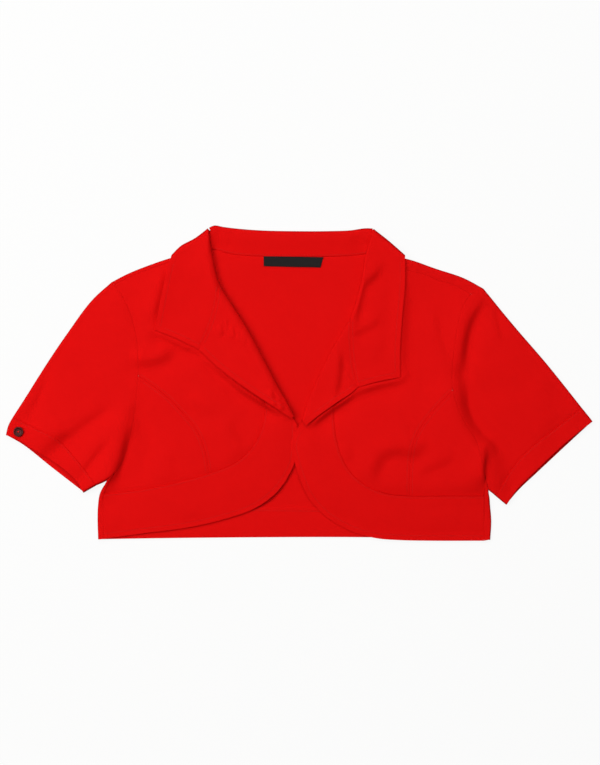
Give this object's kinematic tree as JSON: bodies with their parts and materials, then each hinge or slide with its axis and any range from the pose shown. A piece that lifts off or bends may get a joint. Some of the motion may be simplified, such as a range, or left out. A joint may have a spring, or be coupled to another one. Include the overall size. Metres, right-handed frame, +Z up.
{
  "type": "bolero jacket",
  "caption": "Short fitted bolero jacket with short cuffed sleeves, a wide rolled shawl collar with lapels and overlapping curved fronts, laid out flat.",
  "frame": {"origin": "middle of the laid-out jacket's bounding box, on the surface that it lies on", "axes": "+X towards the wearer's left sleeve, +Y towards the collar, +Z up from the surface through the fronts"},
  "size_m": [0.646, 0.3462, 0.0119],
  "materials": {
    "red_cloth": "matte",
    "red_hem": "matte",
    "label_cloth": "matte",
    "button_brown": "gloss"
  },
  "bodies": {
    "root": {"back_panel": "red_cloth", "back_hem": "red_hem", "front_centre_right": "red_cloth", "front_centre_left": "red_cloth", "front_side_right": "red_cloth", "front_side_left": "red_cloth", "hem_band_right": "red_cloth", "hem_band_left": "red_cloth", "lapel_right": "red_cloth", "lapel_left": "red_cloth", "collar_fall": "red_cloth", "collar_stand": "red_cloth", "sleeve_right": "red_cloth", "sleeve_left": "red_cloth", "cuff_right": "red_cloth", "cuff_left": "red_cloth", "cuff_button": "button_brown", "neck_label": "label_cloth"}
  },
  "joints": []
}
